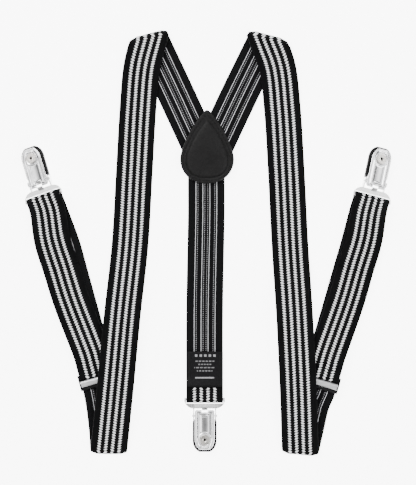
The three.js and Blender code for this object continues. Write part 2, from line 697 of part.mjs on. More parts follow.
function addFrontStrap(name, lay) {
  const turn = THREE.MathUtils.degToRad(lay.adjusterTurn);
  const along = (distance, height) => [
    lay.adjuster[0] - distance * Math.sin(turn),
    lay.adjuster[1] + distance * Math.cos(turn),
    height,
  ];
  const { bar: bailBar, up } = barPose(lay);
  const atBail = (side, back = 0) => {
    const yaw = THREE.MathUtils.degToRad(lay.clipTurn);
    const at = bailBar.clone().addScaledVector(up, side * BAIL_FOLD);
    return [at.x + back * Math.sin(yaw), at.y - back * Math.cos(yaw), at.z, lay.clipRoll];
  };

  // From the patch up to the shoulder, over, and down the front to the foot.
  const [leaving, rising] = lay.yoke;
  const yoke = ply([
    [...lay.patchEnd, lay.patchHeight],
    [...leaving, lay.patchHeight],
    [...rising, ON_SURFACE],
    [...lay.shoulder, ON_SURFACE],
  ], 1);
  const [overYoke, leftYoke, ...down] = lay.front;
  const heights = [ON_SURFACE, ON_SURFACE + CLEARANCE, OVER_ADJUSTER, OVER_ADJUSTER];
  const front = ply([
    [...lay.shoulder, ON_SURFACE + 2 * TOP_FOLD],
    [...overYoke, ON_SURFACE + 1.4 * TOP_FOLD],
    [...leftYoke, ON_SURFACE + PLY_STEP],
    ...down.map(([x, y], i) => [x, y, heights[i]]),
    [...lay.foot, ON_SURFACE + 2 * BOTTOM_FOLD],
  ], -1);
  restOn(front, yoke);

  // From the foot up under the front strap, through the adjuster, and up to the clip's bail.
  const riser = ply([
    [...lay.foot, ON_SURFACE],
    ...lift(lay.riser, ON_SURFACE + CLEARANCE),
    along(frameFoot - 1, THROUGH_ADJUSTER),
    along(0, THROUGH_ADJUSTER),
    along(STRAIGHT_PLY / 2, THROUGH_ADJUSTER),
    along(STRAIGHT_PLY, THROUGH_ADJUSTER),
    along(1.2 * STRAIGHT_PLY),
    atBail(-1, SQUARE_TO_BAR).slice(0, 2),
    atBail(-1),
  ], 1);
  const endOfSewing = sewnFoldY + SEWN_LENGTH + CUT_GAP;
  const [overRise, overStart, overMiddle] = lay.overPly;
  const loop = ply([
    atBail(1),
    atBail(1, SQUARE_TO_BAR).slice(0, 2),
    overRise,
    [...overStart, LOOP_TOP],
    [...overMiddle, LOOP_TOP],
    along(endOfSewing + 5, SEWN_TOP - CLEARANCE),
    along(endOfSewing, SEWN_TOP),
  ], -1);

  // One length of webbing, in four stretches that meet clear of its folds.
  const { stations, marks } = route([yoke, front, riser, loop], [SHOULDER_LEAN]);
  const [shoulder, foot, bail] = marks;
  const slideHead = stations.findIndex(({ at }, i) => i > bail.end && at.y < overStart[1]);
  const cuts = [0, shoulder.end + 1, foot.start - 1, slideHead, stations.length - 1];
  ['yoke_strap', 'front_strap', 'tail_strap', 'loop_ply'].forEach((stretch, i) => {
    addPart(`${name}_${stretch}`, webbing(stations, { from: cuts[i], to: cuts[i + 1] }), WEBBING);
  });
}

for (const [name, lay] of Object.entries(FRONT_STRAPS)) {
  addFrontStrap(name, lay);
  addAdjuster(name, lay.adjuster, lay.adjusterTurn);
  addClip(name, lay);
}

// ---- Back strap and label ----

// Under the patch it stops short of the left strap's slanted end, which lies on the same layer.
const { patchEnd: [endX, endY], yoke: [[leavingX, leavingY]] } = FRONT_STRAPS.left;
const endSlope = (endX - leavingX) / (leavingY - endY);
const { headX } = BACK_STRAP;
const headY = endY + (headX - WEB_WIDTH / 2 - endX) * endSlope - CUT_GAP;

const [backX, backY] = BACK_STRAP.clip;
const returnPly = [
  [backX, backY, BAIL_TOP],
  [backX, backY + 8, ON_SURFACE + PLY_STEP + 1],
  [backX, backY + 16, ON_SURFACE + PLY_STEP],
  [backX, backY + LABEL_START + LABEL_LENGTH, ON_SURFACE + PLY_STEP],
];
const backStrap = ply([
  [headX, headY, IN_PATCH_LOW],
  [headX, PATCH_FOOT[1] - 2, IN_PATCH_LOW],
  [headX, PATCH_FOOT[1] - 20, ON_SURFACE],
  [backX, backY + 60, ON_SURFACE],
  [backX, backY, ON_SURFACE],
], 1);
addPart('back_strap', webbing(route([backStrap, ply(returnPly, -1)]).stations), WEBBING);

const labelRise = HALF_WEB + CUT_GAP + LABEL_THICKNESS / 2;
const labelPly = ply(returnPly.map(([x, y, z]) => [x, y, z + labelRise]), -1)
  .filter(({ at }) => at.y > backY + LABEL_START);
addPart('label', webbing(labelPly, { thickness: LABEL_THICKNESS }), LABEL_CLOTH);
addClip('back', BACK_STRAP);

// ---- Stand the whole on its middle ----

const extent = new THREE.Box3().setFromObject(suspenders, true);
const centre = extent.getCenter(new THREE.Vector3());
suspenders.position.set(-centre.x, -centre.y, -extent.min.z);

export default suspenders;
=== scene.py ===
# Y-back clip suspenders laid out flat, face up, on a pale table.
import json
import math

import bmesh
import bpy
import numpy as np
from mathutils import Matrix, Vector


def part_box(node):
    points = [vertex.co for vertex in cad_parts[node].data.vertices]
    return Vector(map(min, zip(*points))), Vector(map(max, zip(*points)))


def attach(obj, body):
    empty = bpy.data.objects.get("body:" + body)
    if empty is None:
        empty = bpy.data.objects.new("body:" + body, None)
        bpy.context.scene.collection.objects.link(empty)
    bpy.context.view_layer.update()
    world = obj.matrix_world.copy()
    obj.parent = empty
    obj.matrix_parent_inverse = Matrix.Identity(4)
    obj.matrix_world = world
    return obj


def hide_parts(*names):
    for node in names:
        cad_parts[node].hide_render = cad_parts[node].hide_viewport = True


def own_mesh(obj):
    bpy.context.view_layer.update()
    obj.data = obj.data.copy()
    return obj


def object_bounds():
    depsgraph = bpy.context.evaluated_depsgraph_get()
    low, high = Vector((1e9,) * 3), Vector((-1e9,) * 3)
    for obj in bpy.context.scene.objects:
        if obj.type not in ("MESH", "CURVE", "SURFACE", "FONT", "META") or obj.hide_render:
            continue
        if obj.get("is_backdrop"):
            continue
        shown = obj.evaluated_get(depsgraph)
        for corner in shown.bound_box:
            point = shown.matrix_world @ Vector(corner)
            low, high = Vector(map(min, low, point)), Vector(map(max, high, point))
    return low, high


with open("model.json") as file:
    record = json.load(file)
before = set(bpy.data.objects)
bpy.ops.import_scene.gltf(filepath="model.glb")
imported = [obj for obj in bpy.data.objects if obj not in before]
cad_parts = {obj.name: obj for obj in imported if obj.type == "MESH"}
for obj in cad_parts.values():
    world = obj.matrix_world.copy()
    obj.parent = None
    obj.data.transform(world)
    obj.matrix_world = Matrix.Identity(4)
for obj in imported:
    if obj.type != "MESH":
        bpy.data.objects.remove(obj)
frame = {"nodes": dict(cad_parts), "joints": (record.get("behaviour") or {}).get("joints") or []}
cad_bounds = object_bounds()


# ---- Elastic webbing ----
# A 25 mm ribbon of black elastic, woven in one piece. Four white cords are woven into its face and
# stand a little proud; on its back they show as four thin lines, each beside a row of white dots.

MM = 0.001
WEB_WIDTH = 25
WEB_HALF_THICKNESS = 0.6
# From the webbing's middle: the cords on its face, and the lines and the rows of dots on its back.
STRIPE_OFFSETS, BACK_LINE_OFFSETS, BACK_DOT_OFFSETS = (2.3, 6.9), (2.4, 7.1), (1.0, 5.7)
STRIPE_HALF_WIDTH = 0.8
PICK = 1.75  # from one slanted pick of a cord to the next
PICK_SLANT = 0.14 * PICK  # how far a pick runs along the webbing from its middle to its side
PICK_END, PICK_SPREAD = STRIPE_HALF_WIDTH - 0.72, 1.3  # its half width at its ends, and how far it swells
RIB, WEFT = 0.62, 0.9  # from one rib, and from one crossing thread, of the black ground to the next
# The first cord colour is painted shade, for the grooves between the cords' picks and their sides.
CORD_SHADE, CORD_WHITE = (0.012, 0.012, 0.016), (0.95, 0.95, 0.96)
# This is painted shade, for the hollows between the black ground's ribs and weft.
GROUND_SHADE = (0.0008, 0.0008, 0.001)


class Maker:
    """A material, with short ways to write its node sums."""

    def __init__(self, name, colour=(0.5, 0.5, 0.5), roughness=0.5, metallic=0.0, **sockets):
        self.material = bpy.data.materials.new(name)
        self.material.use_nodes = True
        self.tree = self.material.node_tree
        self.shader = self.tree.nodes["Principled BSDF"]
        self.set("Base Color", (*colour, 1))
        self.set("Roughness", roughness)
        self.set("Metallic", metallic)
        for name, value in sockets.items():
            self.set(name.replace("_", " "), value)

    def set(self, name, value):
        self.join(self.shader.inputs[name], value)

    def join(self, socket, value):
        if isinstance(value, bpy.types.NodeSocket):
            self.tree.links.new(value, socket)
        else:
            socket.default_value = value

    def node(self, kind, inputs=(), output=0, **settings):
        made = self.tree.nodes.new(kind)
        for name, value in settings.items():
            setattr(made, name, value)
        for key, value in dict(inputs).items():
            self.join(made.inputs[key], value)
        return made.outputs[output]

    def sum(self, operation, *values):
        return self.node("ShaderNodeMath", enumerate(values), operation=operation)

    def ramp(self, value, low, high, to_low=0.0, to_high=1.0):
        inputs = {"Value": value, "From Min": low, "From Max": high, "To Min": to_low, "To Max": to_high}
        return self.node("ShaderNodeMapRange", inputs, interpolation_type="SMOOTHSTEP")

    def blend(self, share, first, second):
        made = self.tree.nodes.new("ShaderNodeMix")
        made.data_type = "RGBA"
        self.join(made.inputs[0], share)
        self.join(made.inputs[6], (*first, 1) if isinstance(first, tuple) else first)
        self.join(made.inputs[7], (*second, 1) if isinstance(second, tuple) else second)
        return made.outputs[2]

    def noise(self, scale, detail=3.0, place=None):
        inputs = {"Scale": scale, "Detail": detail}
        inputs["Vector"] = place or self.node("ShaderNodeTexCoord", output=3)
        return self.node("ShaderNodeTexNoise", inputs)

    def bump(self, height, distance, strength=1.0):
        inputs = {"Height": height, "Distance": distance, "Strength": strength}
        self.set("Normal", self.node("ShaderNodeBump", inputs))

    def weave(self):
        place = self.node("ShaderNodeAttribute", attribute_name="weave", output=1)
        return [self.node("ShaderNodeSeparateXYZ", {0: place}, output=i) for i in range(2)]


def stripe_offset(maker, across, inner, outer):
    """How far a place lies to one side of the nearest of four lines at plus and minus inner and outer."""
    middle = (inner + outer) / 2
    beside = maker.sum("ABSOLUTE", maker.sum("SUBTRACT", maker.sum("ABSOLUTE", across), middle))
    return maker.sum("SUBTRACT", beside, (outer - inner) / 2)


def stripe_distance(maker, across, inner, outer):
    return maker.sum("ABSOLUTE", stripe_offset(maker, across, inner, outer))


def black_ground(maker, across, along):
    """Fine ribs along the webbing crossed by the weft: a height from 0 to 1."""
    ribs = maker.sum("SINE", maker.sum("MULTIPLY", across, 2 * math.pi / RIB))
    weft = maker.sum("SINE", maker.sum("MULTIPLY_ADD", along, 2 * math.pi / WEFT, ribs))
    return maker.sum("MULTIPLY_ADD", maker.sum("ADD", ribs, weft), 0.22, 0.5)


def webbing_face():
    maker = Maker("webbing face", roughness=0.8)
    maker.set("Specular IOR Level", 0.06)
    across, along = maker.weave()
    offset = stripe_offset(maker, across, *STRIPE_OFFSETS)
    away = maker.sum("ABSOLUTE", offset)
    # A cord is a twist: its picks slant, with painted shade in the groove between each two, and each pick is
    # painted lighter on its crown than at its sides, a painted highlight.
    slant = maker.sum("MULTIPLY_ADD", offset, PICK_SLANT / STRIPE_HALF_WIDTH, along)
    pick = maker.sum("DIVIDE", maker.sum("PINGPONG", slant, PICK / 2), PICK / 2)
    edge = maker.sum("MULTIPLY_ADD", pick, PICK_SPREAD, PICK_END)
    white = maker.ramp(maker.sum("SUBTRACT", edge, away), -0.08, 0.1)
    notch = maker.ramp(pick, 0.08, 0.5)
    crown = maker.ramp(away, STRIPE_HALF_WIDTH + 0.2, 0.1)
    strands = maker.sum("SINE", maker.sum("MULTIPLY_ADD", across, 16.0, maker.sum("MULTIPLY", along, 9.0)))
    lit = maker.sum("MULTIPLY", notch, maker.ramp(crown, 0, 0.6, 0.6, 1))
    thread = maker.blend(maker.sum("MULTIPLY_ADD", strands, 0.06, lit), CORD_SHADE, CORD_WHITE)
    ground = black_ground(maker, across, along)
    cloud = maker.noise(90)
    # The ground's colour follows its ribs and weft and is darker in their hollows: painted shade. The cloud
    # varies its tone at random.
    dark = maker.blend(maker.sum("MULTIPLY", ground, maker.ramp(cloud, 0.3, 0.7, 0.6, 1)),
                       GROUND_SHADE, (0.0046, 0.0046, 0.005))
    maker.set("Base Color", maker.blend(white, dark, thread))
    cord = maker.sum("MULTIPLY_ADD", notch, 0.5, maker.sum("MULTIPLY", crown, 0.5))
    height = maker.node("ShaderNodeMix", {0: white, 2: maker.sum("MULTIPLY", ground, 0.55), 3: cord})
    maker.bump(height, 0.28 * MM, 0.9)
    return maker.material


def webbing_back():
    maker = Maker("webbing back", roughness=0.8)
    maker.set("Specular IOR Level", 0.06)
    across, along = maker.weave()
    line = stripe_distance(maker, across, *BACK_LINE_OFFSETS)
    dots = stripe_distance(maker, across, *BACK_DOT_OFFSETS)
    float_length = PICK * 0.75
    step = maker.sum("DIVIDE", maker.sum("PINGPONG", along, float_length / 2), float_length / 2)
    solid = maker.sum("MULTIPLY", maker.ramp(line, 0.22, 0.08), maker.ramp(step, 0.0, 0.35, 0.6, 1))
    dotted = maker.sum("MULTIPLY", maker.ramp(dots, 0.26, 0.08), maker.ramp(step, 0.45, 0.7))
    light = maker.sum("MAXIMUM", solid, maker.sum("MULTIPLY", dotted, 0.5))
    slant = maker.sum("SINE", maker.sum("MULTIPLY_ADD", along, 4.4, maker.sum("MULTIPLY", across, 3.6)))
    ground = maker.sum("MULTIPLY_ADD", slant, 0.25, black_ground(maker, across, along))
    # The ground's colour follows its weave and is darker in its hollows: painted shade.
    dark = maker.blend(ground, GROUND_SHADE, (0.0064, 0.0064, 0.007))
    maker.set("Base Color", maker.blend(light, dark, (0.8, 0.8, 0.83)))
    maker.bump(maker.sum("MULTIPLY_ADD", light, 0.4, maker.sum("MULTIPLY", ground, 0.5)), 0.25 * MM, 0.8)
    return maker.material


WEBBING = (webbing_face(), webbing_back())
CURVE_SAMPLES = 60
STATION_PITCH = 1.5  # from one station to the next along a ply
FOLD_STEPS = 24  # stations round a fold, less one
FOLD_CLEARANCE = 0.3  # how far past a fold's slanted end its plies start


def smooth_line(points, pitch):
    """Evenly spaced places and directions on a smooth curve through plan points, with each one's share
    of the way from point to point."""
    p = [np.array(point[:2], float) for point in points]
    p = [2 * p[0] - p[1], *p, 2 * p[-1] - p[-2]]
    places, shares = [], []
    for i in range(1, len(p) - 2):
        a, b, c, d = p[i - 1:i + 3]
        before, here, after = (max(np.linalg.norm(q - r) ** 0.5, 1e-4) for q, r in ((a, b), (b, c), (c, d)))
        leave = ((b - a) / before - (c - a) / (before + here) + (c - b) / here) * here
        arrive = ((c - b) / here - (d - b) / (here + after) + (d - c) / after) * here
        t = np.linspace(0, 1, CURVE_SAMPLES)[:, None]
        places.append(b + leave * t + (3 * c - 3 * b - 2 * leave - arrive) * t ** 2
                      + (2 * b - 2 * c + leave + arrive) * t ** 3)
        shares.append(i - 1 + t[:, 0])
    places, shares = np.vstack(places), np.concatenate(shares)
    length = np.concatenate([[0], np.cumsum(np.linalg.norm(np.diff(places, axis=0), axis=1))])
    even = np.linspace(0, length[-1], max(3, round(length[-1] / pitch) + 1))
    at = np.column_stack([np.interp(even, length, places[:, k]) for k in (0, 1)])
    along = np.gradient(at, axis=0)
    return at, along / np.linalg.norm(along, axis=1)[:, None], np.interp(even, length, shares)


def eased(share):
    share = np.clip(share, 0, 1)
    return share * share * (3 - 2 * share)


def ply(points, facing, pitch=STATION_PITCH):
    """Stations of one flat stretch. A point is (x, y, height, roll); one without a height lies between."""
    at, along, place = smooth_line(points, pitch)
    knots = [(i, q[2], math.radians(q[3]) if len(q) > 3 else 0.0) for i, q in enumerate(points) if len(q) > 2]
    stations = []
    for (x, y), (dx, dy), share in zip(at, along, place):
        k = next((n for n in range(1, len(knots)) if knots[n][0] >= share - 1e-6), len(knots) - 1)
        (start, low, lean), (end, high, new_lean) = knots[k - 1], knots[k]
        step = eased((share - start) / (end - start))
        roll = lean + (new_lean - lean) * step
        across = np.array([dy * facing * math.cos(roll), -dx * facing * math.cos(roll), -math.sin(roll)])
        stations.append((np.array([x, y, low + (high - low) * step]), across, 0.0))
    return stations


def turn_over(before, after, lean):
    """Stations of a fold from the end of one ply to the start of the next, and how far it eats into each."""
    last, first = before[-1], after[0]
    across = (1 - lean) * last[1] + lean * first[1]
    across /= np.linalg.norm(across)
    slants = [math.acos(min(1.0, float(np.dot(s[1], across)))) for s in (last, first)]
    skews = [float(np.dot(across, direction)) for direction in
             (unit(last[0] - before[-2][0]), unit(after[1][0] - first[0]))]
    reaches = [WEB_WIDTH / 2 * math.tan(slant) + FOLD_CLEARANCE for slant in slants]
    middle = (last[0] + first[0]) / 2
    rise = first[0] - middle
    outward = unit(np.cross(across, rise)) * np.linalg.norm(rise)
    if np.dot(outward, last[0] - before[-2][0]) < 0:
        outward = -outward
    turn = []
    for i in range(FOLD_STEPS + 1):
        angle, share = math.pi * i / FOLD_STEPS, i / FOLD_STEPS
        stretch = 1 / math.cos(slants[0] * (1 - share) + slants[1] * share)
        skew = (skews[0] * (1 - share) + skews[1] * share) * stretch
        turn.append((middle + outward * math.sin(angle) - rise * math.cos(angle), across * stretch, skew))
    return turn, reaches


def unit(v):
    return v / np.linalg.norm(v)


CORNER = 4.5  # how far in from the edges a fold is rounded off
CORNER_SHARE = 0.6  # how much of a full quarter round it is rounded by
SOFTENED = 12.0  # how far from a fold the webbing gives to let its corners draw in


def draw_in(stations, folds):
    """For each station, the way and the distance by which the webbing's edges draw back from its folds."""
    centres = np.array([s[0] for s in stations])
    run = np.concatenate([[0], np.cumsum(np.linalg.norm(np.diff(centres, axis=0), axis=1))])
    pulls = [(np.zeros(3), 0.0)] * len(stations)
    for first, last in folds:
        into = unit(centres[first - 1] - centres[first]) * (1, 1, 0)
        away = unit(centres[last + 1] - centres[last]) * (1, 1, 0)
        for i in range(len(stations)):
            distance = max(run[first] - run[i], run[i] - run[last], 0)
            if distance < SOFTENED:
                share = min(max((run[i] - run[first]) / (run[last] - run[first]), 0), 1)
                pulls[i] = (into * (1 - share) + away * share, 1 - distance / SOFTENED)
    return pulls


def corner_depth(x):
    """How far an edge point stands back from a fold whose corners are rounded."""
    inside = min(max(abs(x) - (WEB_WIDTH / 2 - CORNER), 0) / CORNER, 1)
    return CORNER * (1 - math.sqrt(1 - inside ** 2)) * CORNER_SHARE


def route(plies, leans=()):
    """All the stations of one length of webbing, and where each of its folds ends."""
    stations, marks = list(plies[0]), []
    for i, after in enumerate(plies[1:]):
        turn, reaches = turn_over(stations, after, leans[i] if i < len(leans) else 0.5)
        corner = stations.pop()[0]
        while np.linalg.norm(stations[-1][0] - corner) < reaches[0]:
            stations.pop()
        stations += turn
        marks.append(len(stations))
        stations += [s for s in after[1:] if np.linalg.norm(s[0] - after[0][0]) > reaches[1]]
    return stations, marks


CORD_RISE = 0.12  # how far the cords stand proud of the ground
# A cord's section: how far to the side of its middle, and how far it stands proud there.
CORD_SECTION = ((-1.05, 0), (-0.75, 0.1), (-0.3, CORD_RISE), (0.3, CORD_RISE), (0.75, 0.1), (1.05, 0))
SELVEDGE = 0.5  # how wide the rounded edge is


def face_profile():
    """The outline of the webbing's section, as (across, towards the back): the cords raise its face."""
    body = WEB_HALF_THICKNESS - CORD_RISE
    half = WEB_WIDTH / 2
    flat = half - SELVEDGE
    inner, outer = STRIPE_OFFSETS
    face = [(-flat, -body)]
    for centre in (-outer, -inner, inner, outer):
        face += [(centre + offset, -body - proud) for offset, proud in CORD_SECTION]
    face.append((flat, -body))
    edge = [(half - 0.14, -0.34), (half, 0), (half - 0.14, 0.34)]
    line, outer_line = BACK_LINE_OFFSETS
    back = [(x, body) for x in (flat, outer_line, line, -line, -outer_line, -flat)]
    return face + edge + back + [(-x, -z) for x, z in edge], len(face) - 1


def new_mesh(name, places, faces, materials):
    mesh = bpy.data.meshes.new(name)
    mesh.from_pydata([tuple(p) for p in places], [], faces)
    mesh.polygons.foreach_set("use_smooth", [True] * len(mesh.polygons))
    for material in materials:
        mesh.materials.append(material)
    obj = bpy.data.objects.new(name, mesh)
    bpy.context.scene.collection.objects.link(obj)
    return obj


def webbing(name, stations, profile=None, materials=WEBBING, length_before=0.0, folds=()):
    """A mesh of the webbing through these stations. Its weave attribute holds mm across and along."""
    pulls = draw_in(stations, folds)
    outline, face_sides = profile or face_profile()
    centres = np.array([s[0] for s in stations])
    along = np.gradient(centres, axis=0)
    run = length_before + np.concatenate([[0], np.cumsum(np.linalg.norm(np.diff(centres, axis=0), axis=1))])
    places, weave = [], []
    for (at, across, skew), direction, distance, (back, strength) in zip(stations, along, run, pulls):
        normal = unit(np.cross(across, direction))
        for x, z in outline:
            places.append((at + across * x + normal * z + back * corner_depth(x) * strength) * MM)
            weave.append((x, distance + skew * x, 0.0))
    n, last = len(outline), len(stations) - 1
    faces = [(i * n + k, i * n + (k + 1) % n, (i + 1) * n + (k + 1) % n, (i + 1) * n + k)
             for i in range(last) for k in range(n)]
    slots = [0 if k < face_sides else 1 for i in range(last) for k in range(n)]
    faces += [tuple(reversed(range(n))), tuple(last * n + k for k in range(n))]
    obj = new_mesh(name, places, faces, materials)
    obj.data.polygons.foreach_set("material_index", slots + [1, 1])
    for cap in obj.data.polygons[-2:]:
        cap.use_smooth = False
    obj.data.attributes.new("weave", "FLOAT_VECTOR", "POINT").data.foreach_set("vector", np.ravel(weave))
    fix_winding(obj)
    return obj, run


def fix_winding(obj):
    edit = bmesh.new()
    edit.from_mesh(obj.data)
    bmesh.ops.recalc_face_normals(edit, faces=edit.faces)
    edit.to_mesh(obj.data)
    edit.free()


# ---- Front straps ----
# Each is a single length of webbing. It leaves the patch back side up, folds over at the shoulder, runs
# down the front, folds again at the foot, passes the adjuster and the clip's bail, and comes back to be
# sewn round the adjuster's bar.

CLEARANCE = 0.3
# Heights of the webbing's middle above the table.
HALF = WEB_HALF_THICKNESS
IN_PATCH_LOW, IN_PATCH_HIGH = 1.9, 3.4
THROUGH_ADJUSTER, LOOP_TOP = 1.7, 3.2
SEWN_RETURN, SEWN_TOP = 3.2, 5.8
OVER_ADJUSTER = 9.4
PLY_STEP = 1.5  # from one ply to the next that lies on it
TOP_FOLD, BOTTOM_FOLD, BAIL_FOLD = 2.2, 1.3, 2.0  # radii
SHOULDER_LEAN = 0.26  # 0 folds square across the yoke strap, 1 square across the front strap
STRAIGHT_PLY = 78  # how far the strap lies straight past the adjuster's middle
BAIL_LEAD = 9  # how far it runs square to the bail
SEWN_LENGTH = 9
# Along the adjuster, from its middle towards the clip.
FRAME_FOOT, SEWN_FOLD = -4.6, 4.4

joints = {joint["name"]: joint for joint in frame["joints"]}
patch_low, patch_high = (np.array(corner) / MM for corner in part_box("patch_backing"))
# Where the patch's foot lies in the layout below, and from it the layout's own middle in the frame.
PATCH_FOOT_X, PATCH_FOOT_Y = -1.1, 40.6
LAYOUT = np.array([(patch_low[0] + patch_high[0]) / 2 - PATCH_FOOT_X, patch_low[1] - PATCH_FOOT_Y, 0])

FRONT_STRAPS = {
    "left": dict(
        patch_end=(-5.8, 66), patch_height=IN_PATCH_LOW,
        yoke=[(-15.8, 87.6), (-23, 103.2)], shoulder=(-40.3, 139.9),
        front=[(-45.4, 120), (-48, 92), (-50.6, 48), (-53.4, 0), (-58.7, -50), (-63.2, -97)],
        foot=(-67.9, -141.4), riser=[(-69, -126), (-71.2, -108)],
        over_ply=[(-106.2, 2.2), (-100.2, -17), (-93.4, -38.6)],
        adjuster=(-74.6, -92.6), adjuster_turn=15.3,
        clip=(-111.7, 31.2), clip_turn=18.8, clip_roll=-18,
    ),
    "right": dict(
        patch_end=(4.5, 66.2), patch_height=IN_PATCH_HIGH,
        yoke=[(14.6, 87.8), (21.9, 103.2)], shoulder=(39.6, 139.2),
        front=[(46.6, 120), (50, 92), (52.8, 48), (55.2, 0), (58.3, -50), (60.6, -97)],
        foot=(62.2, -141.9), riser=[(65.8, -126), (69.8, -109)],
        over_ply=[(105.5, 2.2), (99.8, -17), (93.6, -38.6)],
        adjuster=(75.2, -94.3), adjuster_turn=-16,
        clip=(110.4, 30.2), clip_turn=-14.6, clip_roll=18,
    ),
}


def front_strap(name, lay):
    turn, yaw, roll = (math.radians(lay[key]) for key in ("adjuster_turn", "clip_turn", "clip_roll"))
    bar = np.array(joints[f"{name}_clip_swing"]["pos_m"]) / MM - LAYOUT
    up = np.array([math.sin(roll) * math.cos(yaw), math.sin(roll) * math.sin(yaw), math.cos(roll)])

    def along(distance, *height):
        x, y = lay["adjuster"]
        return (x - distance * math.sin(turn), y + distance * math.cos(turn), *height)

    def at_bail(side, back=0):
        x, y, z = bar + up * side * BAIL_FOLD
        return (x + back * math.sin(yaw), y - back * math.cos(yaw), z, lay["clip_roll"])

    leaving, rising = lay["yoke"]
    yoke = ply([(*lay["patch_end"], lay["patch_height"]), (*leaving, lay["patch_height"]),
                (*rising, HALF), (*lay["shoulder"], HALF)], 1)
    over_yoke, left_yoke, *down = lay["front"]
    heights = [HALF, HALF + CLEARANCE, OVER_ADJUSTER, OVER_ADJUSTER]
    front = ply([(*lay["shoulder"], HALF + 2 * TOP_FOLD), (*over_yoke, HALF + 1.4 * TOP_FOLD),
                 (*left_yoke, HALF + PLY_STEP), *[(*p, z) for p, z in zip(down, heights)],
                 (*lay["foot"], HALF + 2 * BOTTOM_FOLD)], -1)
    riser = ply([(*lay["foot"], HALF), *[(*p, HALF + CLEARANCE) for p in lay["riser"]],
                 along(FRAME_FOOT - 1, THROUGH_ADJUSTER), along(0, THROUGH_ADJUSTER),
                 along(STRAIGHT_PLY / 2, THROUGH_ADJUSTER), along(STRAIGHT_PLY, THROUGH_ADJUSTER),
                 along(1.2 * STRAIGHT_PLY), at_bail(-1, BAIL_LEAD)[:2], at_bail(-1)], 1)
    over_rise, over_start, over_middle = lay["over_ply"]
    end = SEWN_FOLD + SEWN_LENGTH
    loop = ply([at_bail(1), at_bail(1, BAIL_LEAD)[:2], over_rise,
                (*over_start, LOOP_TOP), (*over_middle, LOOP_TOP),
                along(end + 5, SEWN_TOP - CLEARANCE), along(end, SEWN_TOP)], -1)
    return route([yoke, front, riser, loop], [SHOULDER_LEAN]) + (along, over_start)


def placed(stations):
    return [(at + LAYOUT, across, skew) for at, across, skew in stations]


for side, lay in FRONT_STRAPS.items():
    stations, marks, along, over_start = front_strap(side, lay)
    slide_head = next(i for i in range(marks[2], len(stations)) if stations[i][0][1] < over_start[1])
    strap, run = webbing(f"{side}_strap", placed(stations[:slide_head + 1]),
                         folds=[(end - FOLD_STEPS - 1, end - 1) for end in marks[:2]])
    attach(strap, "straps")
    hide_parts(f"{side}_yoke_strap", f"{side}_front_strap", f"{side}_tail_strap")

    # The last stretch, from here down to the adjuster, as a mesh of its own.
    loop, loop_run = webbing(f"{side}_loop", placed(stations[slide_head:]), length_before=run[-1])
    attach(loop, "straps")
    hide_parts(f"{side}_loop_ply")
    slide = np.array(joints[f"{side}_adjuster_slide"]["axis"])
    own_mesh(loop)

    # Its end goes round the adjuster's bar and is sewn back under itself.
    over = ply([along(SEWN_FOLD + SEWN_LENGTH, SEWN_TOP), along(SEWN_FOLD, SEWN_TOP)], -1)
    under = ply([along(SEWN_FOLD, SEWN_RETURN), along(SEWN_FOLD + SEWN_LENGTH, SEWN_RETURN)], 1)
    sewn, sewn_run = webbing(f"{side}_sewn_end_web", placed(route([over, under])[0]),
                             length_before=loop_run[-1])
    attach(sewn, f"{side}_adjuster")
    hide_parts(f"{side}_sewn_end")


# ---- Back strap ----
# A shorter length of the same webbing, back side up. Its end goes round the back clip's bail, returns face
# up and is sewn down across the strap.

BACK_START, BACK_CLIP = (-1.6, 61.8), (-2.75, -105.9)
BAIL_TOP = 4.6
LABEL_START, LABEL_LENGTH = 7.4, 25
RETURN = HALF + PLY_STEP  # the height of the sewn-down end

back_x, back_y = BACK_CLIP
return_points = [(back_x, back_y, BAIL_TOP), (back_x, back_y + 8, RETURN + 1), (back_x, back_y + 16, RETURN),
                 (back_x, back_y + LABEL_START + LABEL_LENGTH, RETURN)]
back_ply = ply([(*BACK_START, IN_PATCH_LOW), (BACK_START[0], PATCH_FOOT_Y - 2, IN_PATCH_LOW),
                (BACK_START[0], PATCH_FOOT_Y - 20, HALF), (back_x, back_y + 60, HALF),
                (back_x, back_y, HALF)], 1)
return_ply = ply(return_points, -1)
back_strap, back_run = webbing("back_strap_web", placed(route([back_ply, return_ply])[0]))
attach(back_strap, "straps")
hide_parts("back_strap")


# ---- Stitching ----
# Black polyester thread in short raised stitches: across the webbing's doubled ends, along the label's
# two ends and round the leather patch.

def thread_material():
    maker = Maker("sewing thread", (0.0025, 0.0025, 0.0028), 0.7)
    maker.set("Specular IOR Level", 0.06)
    ply_twist = maker.noise(2600, 2)
    maker.set("Roughness", maker.ramp(ply_twist, 0.3, 0.7, 0.6, 0.8))
    maker.bump(ply_twist, 0.05 * MM, 0.6)
    return maker.material


THREAD = thread_material()
STITCH_LIFT = 0.02  # how far a row's middle is above the webbing
STITCH_INSET = 3.2  # how far a row is from the webbing's sewn end


